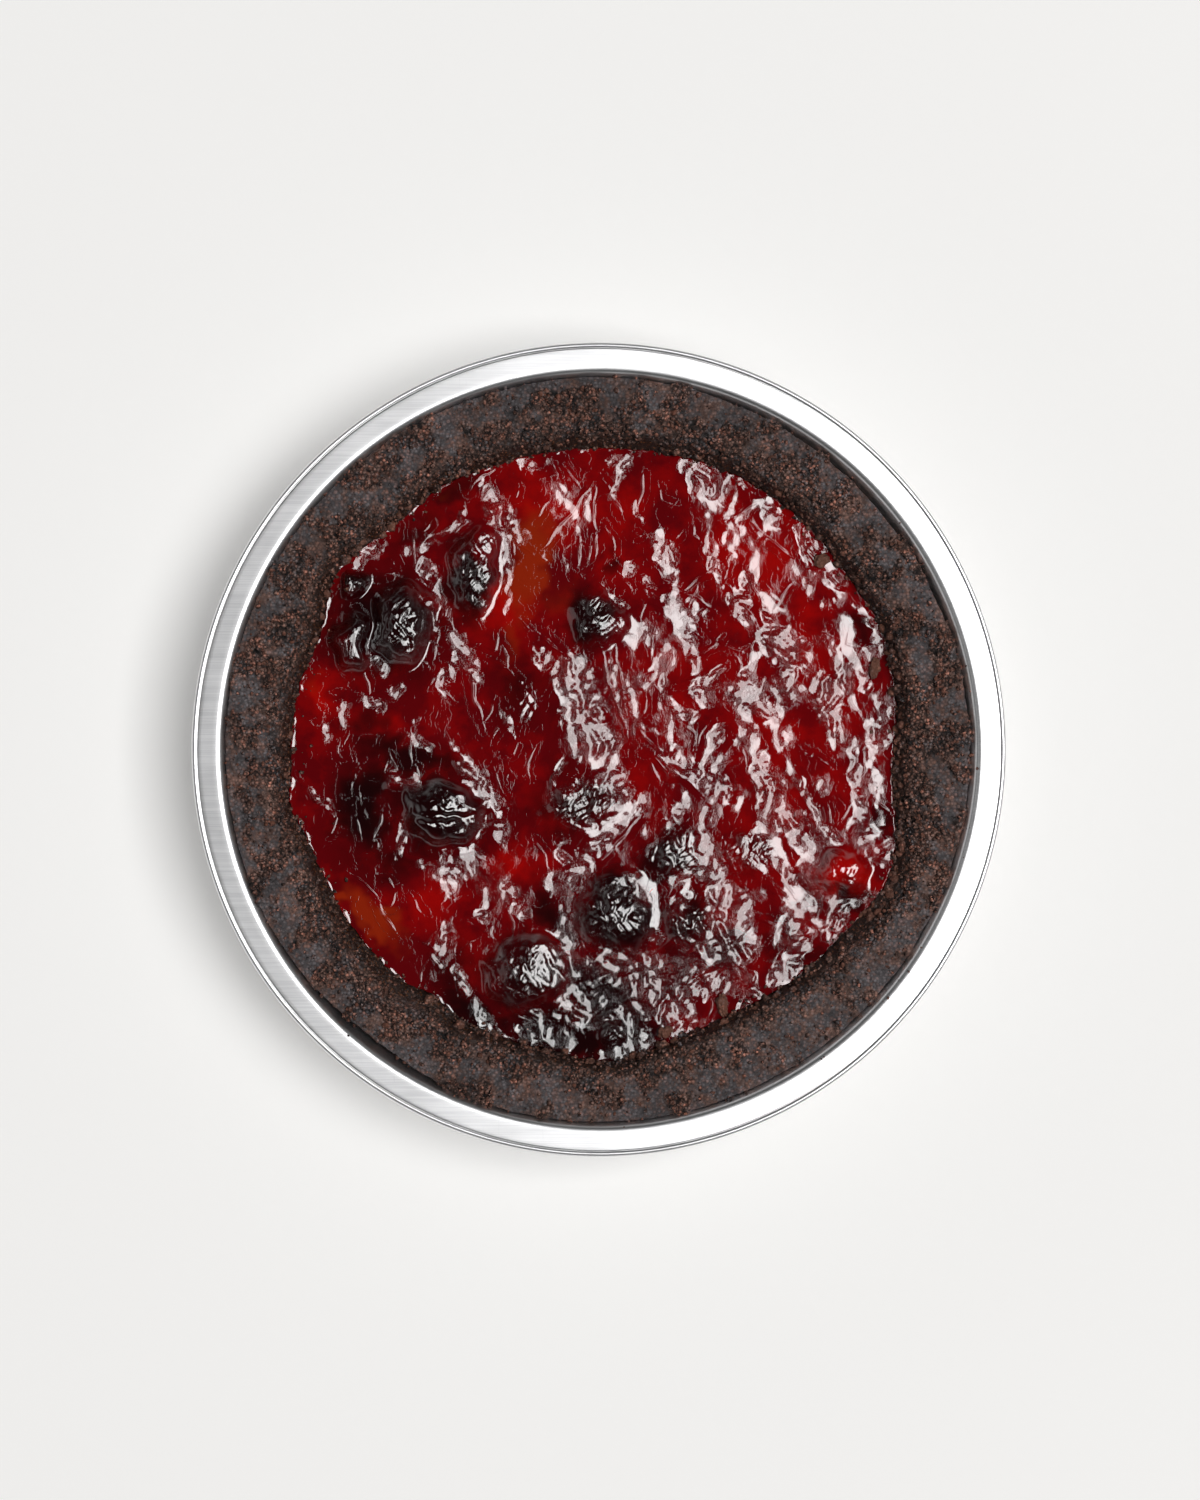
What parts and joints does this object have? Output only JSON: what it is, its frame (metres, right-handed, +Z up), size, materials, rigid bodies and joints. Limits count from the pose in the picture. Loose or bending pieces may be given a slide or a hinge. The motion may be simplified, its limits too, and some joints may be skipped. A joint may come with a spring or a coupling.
{
  "type": "black forest pie",
  "caption": "Round pie of whole dark cherries set in glossy red jelly, in a pressed chocolate crumb crust, baked in its own round aluminium pie tin with a flat rim.",
  "frame": {"origin": "centre of the tin's flat underside, where it rests on the table", "axes": "+Z up out of the pie, +X to the right and +Y away in the top view"},
  "size_m": [0.2476, 0.2476, 0.0381],
  "materials": {
    "tin_aluminium": "satin, finely brushed",
    "chocolate_crumb": "dry baked cookie crumb, rough",
    "red_jelly": "wet wrinkled jelly, very glossy",
    "dark_cherry": "dark fruit under a film of jelly, glossy"
  },
  "bodies": {
    "root": {"pie_tin": "tin_aluminium", "crumb_crust": "chocolate_crumb", "cherry_jelly": "red_jelly", "cherry_01": "dark_cherry", "cherry_02": "dark_cherry", "cherry_03": "dark_cherry", "cherry_04": "dark_cherry", "cherry_05": "dark_cherry", "cherry_06": "dark_cherry", "cherry_07": "dark_cherry", "cherry_08": "dark_cherry", "cherry_09": "dark_cherry", "cherry_10": "dark_cherry", "cherry_11": "dark_cherry", "cherry_12": "dark_cherry", "cherry_13": "dark_cherry", "cherry_14": "dark_cherry", "cherry_15": "dark_cherry", "cherry_16": "dark_cherry"}
  },
  "joints": []
}
